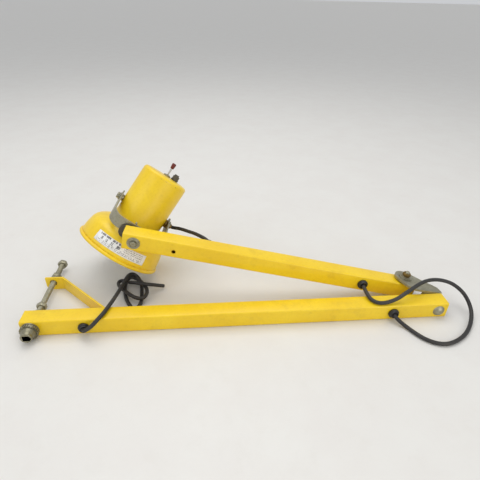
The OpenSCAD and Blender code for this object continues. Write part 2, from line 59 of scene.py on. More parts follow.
BOLT_PITCH, BOLT_NUT_AF, SHANK_END, ELBOW_BOLT_END = 1.6, 14.3, 22, 37.5
PLATE_Z, TILT_X, TILT_Y, TILT_GAP = 16.9, -52.7, 63.85, 3.4
YOKE_REACH, YOKE_SHIFT = 108, 2.9
LAMP_LEAN, LAMP_HEAD = math.radians(41.29), math.radians(29.45)
TILT_S, HEAD_LEN, RIM_R, BEAD_R, HOUSE_R, SHADE_T = 116.6, 215, 102.4, 4, 56.4, 1.8
CAP_H, EAR_FACE, SCREW_R, GLAND_R = 8, 65.5, 4, 7
CORD_D, BUSH_R, BUSH_H, BUSH_HOLE_R = 8.5, 11.5, 8.5, 8.1
BUSH_A, BUSH_B, BUSH_C, BUSH_D, BUSH_D_Z = 105.5, 764.5, -103.5, -464.5, 5
SMALL_HOLE_R, SMALL_HOLE_X, SMALL_HOLE_Z = 4.5, 85.4, -4.2

# Gaps: between parts that seat on each other, and round a bar in a hole, a washer and a nut.
SEAT_GAP, HOLE_FIT, WASHER_FIT, NUT_FIT = 0.4, 0.2, 0.1, 0.02

# The radius of the small ring that closes a turned shape, and the sides of the large round ones.
TIP, BIG_TURNS = 0.01, 144

# Places of the moving groups, in millimetres.
BASE = Matrix.Identity(4)
BRACKET = Matrix.Translation((ELBOW_X, 0, 0)) @ Matrix.Rotation(RAISE, 4, "Y")
UPPER = (
    BRACKET
    @ Matrix.Translation((TILT_X, TILT_Y, PLATE_Z - HALF - TILT_GAP))
    @ Matrix.Rotation(-SWING, 4, "Z")
)
HEAD_BOLT = UPPER @ Matrix.Translation((-UPPER_SPAN, 0, 0))


def place_of(x, y, z, origin):
    """The place with these axes, at this origin."""
    return Matrix.Translation(origin) @ Matrix((x, y, z)).transposed().to_4x4()


lamp_a = Vector((
    math.sin(LAMP_LEAN) * math.cos(LAMP_HEAD),
    math.sin(LAMP_LEAN) * math.sin(LAMP_HEAD),
    math.cos(LAMP_LEAN),
))
arm_w = UPPER.to_3x3() @ Vector((0, 1, 0))
lamp_t = lamp_a.cross(arm_w).normalized()
YOKE = place_of(lamp_t, arm_w, lamp_t.cross(arm_w), HEAD_BOLT @ Vector((0, HALF, 0)))
tilt_centre = YOKE @ Vector((YOKE_SHIFT, YOKE_REACH, 0))
LAMP = place_of(lamp_t, lamp_a.cross(lamp_t), lamp_a, tilt_centre - TILT_S * lamp_a)

# Turns that lay a shape made round Z along Y, along -Y or along X.
ALONG_Y = Matrix.Rotation(math.radians(-90), 4, "X")
ALONG_MINUS_Y = Matrix.Rotation(math.radians(90), 4, "X")
ALONG_X = Matrix.Rotation(math.radians(90), 4, "Y")
ALONG_MINUS_X = Matrix.Rotation(math.radians(-90), 4, "Y")


def at(x=0, y=0, z=0):
    """A move by these millimetres."""
    return Matrix.Translation((x, y, z))


# ---------------------------------------------------------------- camera, light and floor

TABLE_Z = -HALF * MM


def camera():
    """The camera, at the viewing angle of the photograph."""
    heading = Vector((0.1023, 0.9948, 0)).normalized()
    pitch, roll = math.radians(32.05), math.radians(1.5)
    forward = heading * math.cos(pitch) - Vector((0, 0, math.sin(pitch)))
    level = forward.cross(Vector((0, 0, 1))).normalized()
    right = level * math.cos(roll) + level.cross(forward) * math.sin(roll)
    eye, focal_length, sensor = (0.3591, -0.63405, 0.58695), 29.56, 36
    lens = bpy.data.cameras.new("camera")
    lens.lens, lens.sensor_width, lens.clip_start = focal_length, sensor, 0.01
    item = bpy.data.objects.new("camera", lens)
    item.matrix_world = place_of(right, right.cross(forward), -forward, eye)
    bpy.context.scene.collection.objects.link(item)
    bpy.context.scene.camera = item


def lamp_light(name, place, target, size, power, colour):
    """A square soft light that looks at a point."""
    light = bpy.data.lights.new(name, "AREA")
    light.size, light.energy, light.color = size, power, colour
    item = bpy.data.objects.new(name, light)
    item.location = place
    item.rotation_euler = (Vector(target) - Vector(place)).to_track_quat("-Z", "Y").to_euler()
    bpy.context.scene.collection.objects.link(item)


def studio():
    """The floor, the sky light and three soft lights."""
    world = bpy.data.worlds.new("studio")
    bpy.context.scene.world = world
    world.use_nodes = True
    world.node_tree.nodes["Background"].inputs["Color"].default_value = (0.95, 0.97, 1, 1)
    world.node_tree.nodes["Background"].inputs["Strength"].default_value = 0.62
    bpy.context.scene.view_settings.view_transform = "Standard"
    middle, reach = (0.4, 0.1, 0), 60
    lamp_light("ceiling", (0.25, 0.75, 2.3), middle, 1.9, 26, (1, 0.99, 0.97))
    lamp_light("window", (-1.6, -1.0, 1.4), middle, 1.6, 8, (0.97, 0.98, 1))
    lamp_light("bounce", (1.6, -1.9, 1.0), middle, 1.8, 15, (1, 0.99, 0.97))
    corners = [(-reach, -reach), (reach, -reach), (reach, reach), (-reach, reach)]
    mesh = bpy.data.meshes.new("table_top")
    mesh.from_pydata([(x, y, TABLE_Z) for x, y in corners], [], [(0, 1, 2, 3)])
    floor = bpy.data.objects.new("table_top", mesh)
    bpy.context.scene.collection.objects.link(floor)
    mesh.materials.append(weathered(
        "table_laminate", (227, 225, 220), (225, 222, 217), (212, 207, 198), (227, 225, 220),
        roughness=0.45, dirt_amount=0.12, edge_width=0, scratches=0.05, mottling=0.06,
        grain=(600, 0.02),
    ))


# ---------------------------------------------------------------- materials

def tint(colour):
    """A colour given in 0 to 255 screen values, as linear red, green, blue and alpha."""
    parts = [c / 255 for c in colour]
    return [p / 12.92 if p <= 0.04045 else ((p + 0.055) / 1.055) ** 2.4 for p in parts] + [1]


class Finish:
    """A procedural material, built from masks that are mixed into one Principled shader."""

    def __init__(self, name, **fixed):
        self.material = bpy.data.materials.new(name)
        self.material.use_nodes = True
        self.tree = self.material.node_tree
        self.shader = self.tree.nodes["Principled BSDF"]
        self.coords = self.tree.nodes.new("ShaderNodeTexCoord").outputs["Object"]
        for socket, value in fixed.items():
            self.shader.inputs[socket.replace("_", " ")].default_value = value

    def plug(self, socket, value):
        """Links a node's output to a socket, or sets the socket's own value."""
        if isinstance(value, bpy.types.NodeSocket):
            self.tree.links.new(value, socket)
        else:
            socket.default_value = value

    def node(self, kind, output, inputs, **settings):
        """Adds a node with these settings and inputs, and returns one of its outputs."""
        item = self.tree.nodes.new(kind)
        for key, value in settings.items():
            setattr(item, key, value)
        for key, value in inputs.items():
            self.plug(item.inputs[key], value)
        return item.outputs[output]

    def noise(self, scale, detail=5, stretch=None, offset=0.0):
        """Cloudy noise from 0 to 1; scale is in turns per metre, and stretch squeezes each axis."""
        vector = self.coords
        if stretch or offset:
            place = {"Vector": vector, "Scale": stretch or (1, 1, 1), "Location": (offset,) * 3}
            vector = self.node("ShaderNodeMapping", "Vector", place)
        values = {"Vector": vector, "Scale": scale, "Detail": detail, "Roughness": 0.62}
        return self.node("ShaderNodeTexNoise", 0, values)

    def mask(self, value, low, high):
        """0 where value is below low, 1 where it is above high, and smooth between."""
        values = {0: value, 1: low, 2: high}
        return self.node("ShaderNodeMapRange", 0, values, interpolation_type="SMOOTHSTEP")

    def math(self, operation, a, b):
        """One sum on two values or outputs."""
        return self.node("ShaderNodeMath", 0, {0: a, 1: b}, operation=operation, use_clamp=True)

    def mix(self, factor, a, b):
        """Colour a where factor is 0 and b where it is 1."""
        values = {0: factor, 6: a, 7: b}
        return self.node("ShaderNodeMix", 2, values, data_type="RGBA")

    def edge(self, width):
        """1 on the corners of the shape, within about width millimetres."""
        round_normal = self.node("ShaderNodeBevel", 0, {"Radius": width * MM}, samples=4)
        true_normal = self.node("ShaderNodeNewGeometry", "Normal", {})
        dot = self.node(
            "ShaderNodeVectorMath", "Value", {0: round_normal, 1: true_normal},
            operation="DOT_PRODUCT",
        )
        return self.mask(self.math("SUBTRACT", 1.0, dot), 0.02, 0.22)

    def shade(self, colour, roughness, height, depth):
        """Plugs colour, roughness and a height of this depth in millimetres into the shader."""
        self.plug(self.shader.inputs["Base Color"], colour)
        self.plug(self.shader.inputs["Roughness"], roughness)
        bump = {"Height": height, "Strength": 0.6, "Distance": depth * MM}
        normal = self.node("ShaderNodeBump", "Normal", bump)
        self.plug(self.shader.inputs["Normal"], normal)
        return self.material


def weathered(
    name, colour, variation, dirt, wear, *, roughness, dirt_amount=0.4, edge_width=1.0,
    spots=None, spot_level=0.7, scratches=0.3, mottling=0.35, grain=(700, 0.05), **fixed,
):
    """A used surface: uneven colour, smudges, scratches, worn corners, spots and a fine grain."""
    f = Finish(name, **fixed)
    clouds = f.noise(9, 3)
    mottle = f.noise(170, 4, offset=3.1)
    smudge = f.noise(26, 9, offset=7.7)
    colour = f.mix(f.mask(clouds, 0.3, 0.7), tint(colour), tint(variation))
    dark = [c * 0.86 for c in tint(variation)[:3]] + [1]
    colour = f.mix(f.math("MULTIPLY", f.mask(mottle, 0.45, 0.75), mottling), colour, dark)
    stain = f.math("MULTIPLY", f.mask(smudge, 0.52, 0.74), dirt_amount)
    colour = f.mix(stain, colour, tint(dirt))
    fine_lines = f.noise(34, 2, stretch=(1.2, 22, 22), offset=1.7)
    cross_lines = f.noise(30, 2, stretch=(19, 1.5, 24), offset=5.3)
    lines = f.math("MAXIMUM", f.mask(fine_lines, 0.7, 0.74), f.mask(cross_lines, 0.72, 0.76))
    lines = f.math("MULTIPLY", lines, scratches)
    colour = f.mix(lines, colour, tint(wear))
    chips = lines
    if edge_width:
        broken = f.mask(f.noise(120, 6, offset=9.2), 0.5, 0.62)
        chips = f.math("MULTIPLY", f.edge(edge_width), broken)
        colour = f.mix(chips, colour, tint(wear))
    if spots:
        pits = f.mask(f.noise(95, 8, offset=4.4), spot_level, spot_level + 0.07)
        colour = f.mix(f.math("MULTIPLY", pits, 0.85), colour, tint(spots))
        stain = f.math("MAXIMUM", stain, pits)
    rough = f.math("ADD", roughness, f.math("MULTIPLY", stain, 0.3))
    rough = f.math("ADD", rough, f.math("MULTIPLY", f.math("SUBTRACT", mottle, 0.4), 0.22))
    height = f.math("SUBTRACT", f.noise(grain[0], 3), f.math("MULTIPLY", chips, 0.5))
    return f.shade(colour, rough, height, grain[1])


def label_print():
    """The shade's label: a white film with blocks and rows of plain bars for its print."""
    f = Finish("label_film", Specular_IOR_Level=0.4)
    split = f.tree.nodes.new("ShaderNodeSeparateXYZ")
    f.plug(split.inputs[0], f.tree.nodes.new("ShaderNodeUVMap").outputs["UV"])
    along, across = split.outputs[0], split.outputs[1]

    def band(value, low, high):
        """1 between low and high."""
        above = f.math("GREATER_THAN", value, low)
        return f.math("MULTIPLY", above, f.math("LESS_THAN", value, high))

    def rows(count, share, width, offset):
        """Rows of bars of uneven length, each row a step of the scaled height."""
        step = 0.1
        scaled = f.math("MULTIPLY", across, count * step)
        row = f.node("ShaderNodeMath", 0, {0: scaled, 1: step}, operation="SNAP")
        phase = f.node("ShaderNodeMath", 0, {0: scaled, 1: step}, operation="MODULO")
        place = f.node("ShaderNodeCombineXYZ", 0, {0: along, 1: row, 2: offset})
        words = {"Vector": place, "Scale": width, "Detail": 2.0}
        broken = f.mask(f.node("ShaderNodeTexNoise", 0, words), 0.47, 0.49)
        return f.math("MULTIPLY", f.math("LESS_THAN", phase, share * step), broken)

    bold = f.math("MULTIPLY", rows(2.6, 0.78, 15, 0.2), f.math(
        "MULTIPLY", band(along, 0.04, 0.52), band(across, 0.4, 0.96)))
    small = f.math("MULTIPLY", rows(8.2, 0.5, 48, 1.4), f.math(
        "MULTIPLY", band(along, 0.05, 0.94), band(across, 0.06, 0.4)))
    side = f.math("MULTIPLY", rows(6.4, 0.52, 60, 2.7), f.math(
        "MULTIPLY", band(along, 0.56, 0.94), band(across, 0.44, 0.9)))
    ink = f.math("MAXIMUM", bold, f.math("MAXIMUM", f.math("MULTIPLY", small, 0.8), f.math(
        "MULTIPLY", side, 0.85)))
    grime = f.noise(60, 8)
    film = f.mix(f.mask(grime, 0.45, 0.85), tint((240, 240, 238)), tint((206, 203, 192)))
    film = f.mix(f.mask(f.noise(34, 6, offset=2), 0.7, 0.78), film, tint((220, 196, 110)))
    scuff = f.mask(f.noise(240, 5, offset=6), 0.42, 0.6)
    ink = f.math("MULTIPLY", ink, f.math("ADD", 0.55, f.math("MULTIPLY", scuff, 0.45)))
    colour = f.mix(ink, film, tint((28, 27, 26)))
    return f.shade(colour, f.math("ADD", 0.35, f.math("MULTIPLY", grime, 0.2)), grime, 0.05)


FINISHES = {
    "paint": lambda: weathered(
        "yellow_enamel", (247, 211, 38), (240, 200, 28), (186, 150, 42), (150, 118, 58),
        roughness=0.3, dirt_amount=0.24, edge_width=2.8, spots=(92, 66, 40), spot_level=0.76,
        scratches=0.22, grain=(420, 0.05), Specular_IOR_Level=0.5,
    ),
    "zinc": lambda: weathered(
        "dull_zinc", (174, 170, 148), (140, 135, 112), (92, 82, 58), (214, 210, 196),
        roughness=0.36, dirt_amount=0.5, edge_width=0.8, spots=(92, 60, 34), spot_level=0.64,
        scratches=0.35, mottling=0.6, grain=(1100, 0.08), Metallic=0.7,
    ),
    "dark_steel": lambda: weathered(
        "dark_steel", (104, 100, 90), (78, 74, 66), (62, 50, 38), (150, 146, 136),
        roughness=0.5, dirt_amount=0.5, edge_width=0.7, spots=(92, 58, 34), spot_level=0.68,
        grain=(900, 0.06), Metallic=0.6,
    ),
    "bright_steel": lambda: weathered(
        "plated_steel", (202, 200, 194), (176, 172, 162), (120, 108, 86), (222, 221, 217),
        roughness=0.26, dirt_amount=0.4, edge_width=0.4, spots=(110, 76, 48), spot_level=0.72,
        grain=(1500, 0.02), Metallic=0.9,
    ),
    "brass": lambda: weathered(
        "tarnished_brass", (148, 122, 66), (116, 92, 48), (74, 58, 34), (190, 164, 98),
        roughness=0.42, dirt_amount=0.6, edge_width=0.5, spots=(70, 52, 34), spot_level=0.66,
        grain=(1100, 0.05), Metallic=0.75,
    ),
    "black_plastic": lambda: weathered(
        "moulded_nylon", (30, 29, 28), (40, 38, 36), (82, 78, 70), (84, 80, 74),
        roughness=0.34, dirt_amount=0.25, edge_width=0.4, scratches=0.15, grain=(1400, 0.03),
    ),
    "cord_rubber": lambda: weathered(
        "cord_jacket", (50, 48, 46), (38, 36, 35), (92, 86, 76), (96, 92, 86),
        roughness=0.5, dirt_amount=0.35, edge_width=0, scratches=0.3, grain=(1600, 0.1),
    ),
    "label": label_print,
    "socket_ceramic": lambda: weathered(
        "glazed_ceramic", (222, 218, 206), (208, 202, 188), (150, 138, 112), (190, 184, 170),
        roughness=0.25, edge_width=0.5, scratches=0.05, grain=(700, 0.03),
    ),
    "bulb_glass": lambda: weathered(
        "frosted_lens", (236, 238, 240), (222, 226, 230), (190, 188, 180), (236, 238, 240),
        roughness=0.16, dirt_amount=0.25, edge_width=0, scratches=0.05, grain=(900, 0.05),
        Coat_Weight=0.6, Coat_Roughness=0.08,
    ),
    "red_cap": lambda: weathered(
        "red_dip", (112, 34, 26), (90, 26, 20), (60, 36, 28), (140, 70, 56),
        roughness=0.4, dirt_amount=0.5, edge_width=0.4, grain=(900, 0.08),
    ),
    "reflector": lambda: weathered(
        "white_enamel", (234, 231, 220), (224, 219, 204), (176, 164, 136), (150, 138, 110),
        roughness=0.32, dirt_amount=0.35, edge_width=0, scratches=0.1, grain=(400, 0.04),
    ),
}
MADE = {}


def finish(name):
    """The material of this name, made the first time it is asked for."""
    if name not in MADE:
        MADE[name] = FINISHES[name]()
    return MADE[name]


# ---------------------------------------------------------------- shapes

def polar(radius, angle, height):
    """The point at this radius, angle in radians and height."""
    return radius * math.cos(angle), radius * math.sin(angle), height


class Shape:
    """Collects points and faces in millimetres; second holds the faces of a second material."""

    def __init__(self):
        self.points, self.faces, self.second = [], [], set()

    def add(self, points, faces, place=BASE):
        """Adds a shell, moved to its place."""
        first = len(self.points)
        self.points += [place @ Vector(p) for p in points]
        self.faces += [[first + i for i in face] for face in faces]

    def add_rings(self, rings, place=BASE, closed=False):
        """Joins rings of equally many points, with flat ends, or end to start if closed."""
        n, faces = len(rings[0]), []
        for i in range(len(rings) if closed else len(rings) - 1):
            a, b = i * n, (i + 1) % len(rings) * n
            faces += [[a + k, a + (k + 1) % n, b + (k + 1) % n, b + k] for k in range(n)]
        if not closed:
            faces += [list(range(n))[::-1], [(len(rings) - 1) * n + k for k in range(n)]]
        self.add([p for ring in rings for p in ring], faces, place)

    def lathe(self, profile, place=BASE, turns=72, outline=None, closed=True):
        """Turns (radius, height) points round Z. outline(degrees) cuts the radius short."""
        rings = []
        for radius, height in profile:
            ring = []
            for k in range(turns):
                degrees = 360 * k / turns
                r = min(radius, outline(degrees)) if outline else radius
                ring.append(polar(r, math.radians(degrees), height))
            rings.append(ring)
        self.add_rings(rings, place, closed)

    def piece(self, name, body, material, stands_for=(), place=BASE, soft=40, second=None):
        """Makes the mesh object, which rides on a body and stands for CAD nodes.

        The node has the piece's own name if none is given. Edges that turn by less than
        soft degrees are shaded smooth.
        """
        mesh = bpy.data.meshes.new(name)
        move = Matrix.Scale(MM, 4) @ place
        mesh.from_pydata([move @ p for p in self.points], [], self.faces)
        mesh.materials.append(finish(material))
        if second:
            mesh.materials.append(finish(second))
            for i in self.second:
                mesh.polygons[i].material_index = 1
        shell = bmesh.new()
        shell.from_mesh(mesh)
        bmesh.ops.remove_doubles(shell, verts=shell.verts, dist=1e-6)
        bmesh.ops.recalc_face_normals(shell, faces=shell.faces)
        shell.to_mesh(mesh)
        shell.free()
        mesh.shade_smooth()
        mesh.set_sharp_from_angle(angle=math.radians(soft))
        item = bpy.data.objects.new(name, mesh)
        bpy.context.scene.collection.objects.link(item)
        if body:
            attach(item, body)
        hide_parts(*(stands_for or [name.removesuffix("_piece")]))
        return item


def hexagon(af, turn=0):
    """The outline of a hexagon this wide across its flats."""
    return lambda degrees: af / 2 / math.cos(math.radians((degrees + turn) % 60 - 30))


def nut_profile(af, height, bore, both=True):
    """A nut's or bolt head's section, with its corners turned off at one or both faces."""
    corner, face, drop = af / math.sqrt(3) + 0.3, af * 0.475, af * 0.075
    start = [(face, 0), (corner, drop)] if both else [(corner, 0)]
    return [(bore, 0.6), (bore + 0.6, 0), *start, (corner, height - drop), (face, height),
            (bore + 0.6, height), (bore, height - 0.6)]


def ring_profile(outer, bore, height, edge=0.4):
    """A washer's section, with rounded corners."""
    return [(bore, edge), (bore + edge, 0), (outer - edge, 0), (outer - edge * 0.3, edge * 0.3),
            (outer, edge), (outer, height - edge), (outer - edge * 0.3, height - edge * 0.3),
            (outer - edge, height), (bore + edge, height), (bore, height - edge)]


def thread(shape, radius, pitch, start, end, place=BASE, turns=24):
    """A bar with a V thread along Z, its ends turned down."""
    depth, per_turn, chamfer = pitch * 0.55, 6, 1.2
    count = round((end - start) / pitch * per_turn)
    angles = [2 * math.pi * k / turns for k in range(turns)]
    rings = [[polar(TIP, angle, start) for angle in angles]]
    for i in range(count + 1):
        z = start + (end - start) * i / count
        trim = max(0, chamfer - min(z - start, end - z))
        ring = []
        for k, angle in enumerate(angles):
            phase = ((z - start) / pitch - k / turns) % 1
            ring.append(polar(radius - depth * abs(2 * phase - 1) - trim, angle, z))
        rings.append(ring)
    rings.append([polar(TIP, angle, end) for angle in angles])
    shape.add_rings(rings, place)
    return shape


def washer(name, body, radius, bore, height, spot, place=BASE):
    """A zinc washer at this spot of its group's place."""
    part = Shape()
    part.lathe(ring_profile(radius, bore, height), spot)
    part.piece(name + "_piece", body, "zinc", place=place)


def nut(name, body, material, af, height, bore, spot, turn=30, place=BASE):
    """A hexagonal nut at this spot of its group's place, turned by these degrees."""
    part = Shape()
    part.lathe(nut_profile(af, height, bore), spot, outline=hexagon(af, turn))
    part.piece(name + "_piece", body, material, place=place)


def rounded_square(half, corner, steps=5):
    """The outline of a square with rounded corners, in Y and Z."""
    points = []
    for quarter in range(4):
        for i in range(steps + 1):
            angle = math.radians(90 * quarter + 90 * i / steps)
            cy = (half - corner) * (1 if quarter in (0, 3) else -1)
            cz = (half - corner) * (1 if quarter in (0, 1) else -1)
            points.append((cy + corner * math.cos(angle), cz + corner * math.sin(angle)))
    return points


def cylinder_mesh(cuts, place):
    """One hidden mesh of bars for cutting holes; each cut is (place, radius, length)."""
    tool = Shape()
    for spot, radius, length in cuts:
        tool.lathe([(radius, 0), (radius, length)], spot, 40, closed=False)
    mesh = bpy.data.meshes.new("cutter")
    move = Matrix.Scale(MM, 4) @ place
    mesh.from_pydata([move @ p for p in tool.points], [], tool.faces)
    item = bpy.data.objects.new("cutter", mesh)
    bpy.context.scene.collection.objects.link(item)
    return item


def cut(item, cutter):
    """Cuts the cutter out of the piece, and removes the cutter."""
    holes = item.modifiers.new("holes", "BOOLEAN")
    holes.object, holes.solver = cutter, "EXACT"
    bpy.context.view_layer.update()
    graph = bpy.context.evaluated_depsgraph_get()
    result = bpy.data.meshes.new_from_object(item.evaluated_get(graph))
    item.modifiers.clear()
    item.data = result
    bpy.data.objects.remove(cutter)
    result.set_sharp_from_angle(angle=math.radians(30))


def soften(node, material, width, steps=3):
    """Gives a CAD node its finish and rounds its corners by width millimetres."""
    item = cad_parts[node]
    item.data.materials.clear()
    item.data.materials.append(finish(material))
    if "custom_normal" in item.data.attributes:
        item.data.attributes.remove(item.data.attributes["custom_normal"])
    item.data.polygons.foreach_set("use_smooth", [True] * len(item.data.polygons))
    item.modifiers.new("weld", "WELD").merge_threshold = 1e-5
    flat = item.modifiers.new("flat", "DECIMATE")
    flat.decimate_type, flat.angle_limit = "DISSOLVE", math.radians(1)
    bevel = item.modifiers.new("corners", "BEVEL")
    bevel.width, bevel.segments, bevel.limit_method = width * MM, steps, "ANGLE"
    bevel.angle_limit = math.radians(38)
    bevel.harden_normals = True


# ---------------------------------------------------------------- arms

def square_tube(name, body, start, end, holes, place):
    """A square tube along X with rounded corners, and its holes."""
    tube = Shape()
    outer = rounded_square(HALF, TUBE_CORNER)
    inner = rounded_square(HALF - TUBE_WALL, TUBE_CORNER - TUBE_WALL)
    lip = 0.35
    slim = rounded_square(HALF - lip, TUBE_CORNER - lip)
    tube.add_rings([
        [(start, *p) for p in slim], [(start + lip, *p) for p in outer],
        [(end - lip, *p) for p in outer], [(end, *p) for p in slim],
        [(end, *p) for p in inner], [(start, *p) for p in inner],
    ], closed=True)
    item = tube.piece(name + "_piece", body, "paint", place=place, soft=30)
    cut(item, cylinder_mesh(holes, place))


def arms():
    """Both arm tubes, the plugs in their ends and the brace strap."""
    past, one_wall = 3, 8
    near, across = -HALF - past, TUBE_W + 2 * past
    square_tube("lower_tube", "lower_arm", -LOWER_BACK, LOWER_FRONT, [
        (at(0, near, 0) @ ALONG_Y, PIN_R + WASHER_FIT, across),
        (at(ELBOW_X, near, 0) @ ALONG_Y, BOLT_R + HOLE_FIT, across),
        (at(BUSH_A, near, 0) @ ALONG_Y, BUSH_HOLE_R, one_wall),
        (at(BUSH_B, near, 0) @ ALONG_Y, BUSH_HOLE_R, one_wall),
    ], BASE)
    square_tube("upper_tube", "upper_arm", -UPPER_SPAN - UPPER_FRONT, UPPER_BACK, [
        (at(0, 0, near), BOLT_R + HOLE_FIT, across),
        (at(-UPPER_SPAN, near, 0) @ ALONG_Y, BOLT_R + HOLE_FIT, across),
        (at(BUSH_C, near, 0) @ ALONG_Y, BUSH_HOLE_R, one_wall),
        (at(BUSH_D, -near - one_wall, BUSH_D_Z) @ ALONG_Y, BUSH_HOLE_R, one_wall),
        (at(-UPPER_SPAN + SMALL_HOLE_X, near, SMALL_HOLE_Z) @ ALONG_Y, SMALL_HOLE_R, one_wall),
    ], UPPER)
    for plug in ("lower_end_plug", "lower_hub_plug", "upper_head_plug", "upper_elbow_plug"):
        soften(plug, "black_plastic", 1.3)
    soften("brace_strap", "paint", 0.9)


def wall_pin():
    """The threaded pin with its nuts, washers, serrated ring and cap."""
    thread(Shape(), PIN_R, PIN_PITCH, PIN_NEAR, PIN_FAR, ALONG_Y).piece(
        "pivot_rod_piece", "wall_pin", "zinc", soft=75)
    washer_h = 2
    hub_y, ear_y = -HALF - SEAT_GAP - washer_h, EAR_Y + STRAP_T + SEAT_GAP
    ear_nut_y = ear_y + washer_h
    # Each nut's place along the pin, its width across flats and its turn.
    nuts = {
        "inner_nut": (HALF + SEAT_GAP, PIN_NUT_AF, 0),
        "lock_nut": (LOCK_NUT_Y, PIN_NUT_AF, 0),
        "ear_nut": (ear_nut_y, PIN_NUT_AF, 0),
        "ear_lock_nut": (ear_nut_y + PIN_NUT_H, PIN_NUT_AF, 17),
        "end_nut": (END_NUT_Y, PIN_NUT_AF + 1, 8),
    }
    for name, (y, af, turn) in nuts.items():
        nut(name, "wall_pin", "zinc", af, PIN_NUT_H, PIN_R + NUT_FIT, at(0, y, 0) @ ALONG_Y,
            30 + turn)
    for name, y, radius in (("hub_washer", hub_y, 18), ("ear_washer", ear_y, 12)):
        washer(name, "wall_pin", radius, PIN_R + NUT_FIT, washer_h, at(0, y, 0) @ ALONG_Y)
    soften("serrated_ring", "zinc", 0.35, 2)
    soften("hub_cap", "zinc", 0.5)


# ---------------------------------------------------------------- elbow

def elbow():
    """The carriage bolt, the bracket and the tilt bolt with its washers and nut."""
    ball, steps = (DOME_R ** 2 + DOME_H ** 2) / (2 * DOME_H), 12
    dome = [(TIP, HALF + DOME_H)]
    for k in range(steps - 1, -1, -1):
        r = DOME_R * math.cos(math.radians(90 * k / steps))
        dome.append((r, HALF + math.sqrt(ball ** 2 - r ** 2) - ball + DOME_H))
    dome += [(DOME_R - 0.3, HALF), (BOLT_R, HALF), (BOLT_R, -SHANK_END), (TIP, -SHANK_END)]
    bolt = Shape()
    bolt.lathe(dome, ALONG_MINUS_Y, 64, closed=False)
    thread(bolt, BOLT_R, BOLT_PITCH, SHANK_END, ELBOW_BOLT_END, ALONG_Y)
    bolt.piece("elbow_bolt_piece", "lower_arm", "zinc", place=at(ELBOW_X), soft=50)
    washer_r, washer_h, washer_y = 12, 2, HALF + SEAT_GAP + BRACKET_T + SEAT_GAP
    washer("elbow_washer", "lower_arm", washer_r, BOLT_R + WASHER_FIT, washer_h,
           at(ELBOW_X, washer_y, 0) @ ALONG_Y)
    nut("elbow_nut", "lower_arm", "zinc", BOLT_NUT_AF, 8, BOLT_R + NUT_FIT,
        at(ELBOW_X, washer_y + washer_h + 0.1, 0) @ ALONG_Y)
    soften("elbow_bracket", "zinc", 0.9)
    plate_top, head_h, tail = HALF + TILT_GAP + BRACKET_T, 2.4, 16
    bolt = Shape()
    bolt.lathe(nut_profile(BOLT_NUT_AF, head_h, TIP), at(0, 0, -HALF - head_h),
               outline=hexagon(BOLT_NUT_AF, 30))
    thread(bolt, BOLT_R, BOLT_PITCH, -HALF, plate_top + tail, BASE)
    bolt.piece("tilt_bolt_piece", "upper_arm", "zinc", place=UPPER, soft=60)
    washer("tilt_spacer", "upper_arm", 13, BOLT_R + WASHER_FIT, TILT_GAP - SEAT_GAP,
           at(0, 0, HALF), UPPER)
    stack = Shape()
    for radius, height, lift in ((15, 1.6, SEAT_GAP), (11, 1.7, 2.1)):
        stack.lathe(ring_profile(radius, BOLT_R + WASHER_FIT, height), at(0, 0, plate_top + lift))
    stack.piece("tilt_washer_piece", "upper_arm", "zinc", place=UPPER)
    nut_af, nut_h, nut_lift = 16, 8.2, 3.8
    nut("tilt_nut", "upper_arm", "brass", nut_af, nut_h, BOLT_R + NUT_FIT,
        at(0, 0, plate_top + nut_lift), place=UPPER)


def head_joint():
    """The head bolt with its washer and wing nut, the swivel plate and the yoke."""
    head_af, head_h, washer_h, tail = 11.5, 4.5, 2, 17.5
    bolt = Shape()
    bolt.lathe(nut_profile(head_af, head_h, TIP), at(0, -HALF - washer_h, 0) @ ALONG_MINUS_Y,
               outline=hexagon(head_af, 30))
    thread(bolt, BOLT_R, BOLT_PITCH, -HALF - washer_h - 1, HALF + tail, ALONG_Y)
    bolt.piece("head_bolt_piece", "upper_arm", "zinc", place=HEAD_BOLT, soft=60)
    wavy = Shape()
    wavy.lathe([
        (BOLT_R + WASHER_FIT, 0), (14, 0), (14, 1.2), (13.2, washer_h), (11.8, 1.2), (10.6, 1.2),
        (9.8, washer_h), (8.6, washer_h), (7.8, 1.3), (BOLT_R + WASHER_FIT, 1.3),
    ], at(0, -HALF, 0) @ ALONG_MINUS_Y)
    wavy.piece("head_washer_piece", "upper_arm", "zinc", place=HEAD_BOLT)
    soften("wing_nut", "bright_steel", 0.9)
    soften("swivel_plate", "dark_steel", 0.8)
    soften("yoke_strap", "zinc", 0.7)


# ---------------------------------------------------------------- lamp head

def arc(cx, cz, radius, start, end, steps):
    """Points of an arc in radius and height, from one angle to another in degrees."""
    angles = [math.radians(start + (end - start) * i / steps) for i in range(steps + 1)]
    return [(cx + radius * math.cos(a), cz + radius * math.sin(a)) for a in angles]


def curve(points, steps=6):
    """A smooth line through these points, with this many steps between each two."""
    ends = [2 * Vector(points[0]) - Vector(points[1]), 2 * Vector(points[-1]) - Vector(points[-2])]
    p = [ends[0]] + [Vector(q) for q in points] + [ends[1]]
    line = []
    for i in range(1, len(p) - 2):
        for k in range(steps):
            t = k / steps
            line.append(0.5 * (
                2 * p[i] + (p[i + 1] - p[i - 1]) * t
                + (2 * p[i - 1] - 5 * p[i] + 4 * p[i + 1] - p[i + 2]) * t ** 2
                + (3 * p[i] - p[i - 1] - 3 * p[i + 1] + p[i + 2]) * t ** 3
            ))
    return line + [p[-2]]


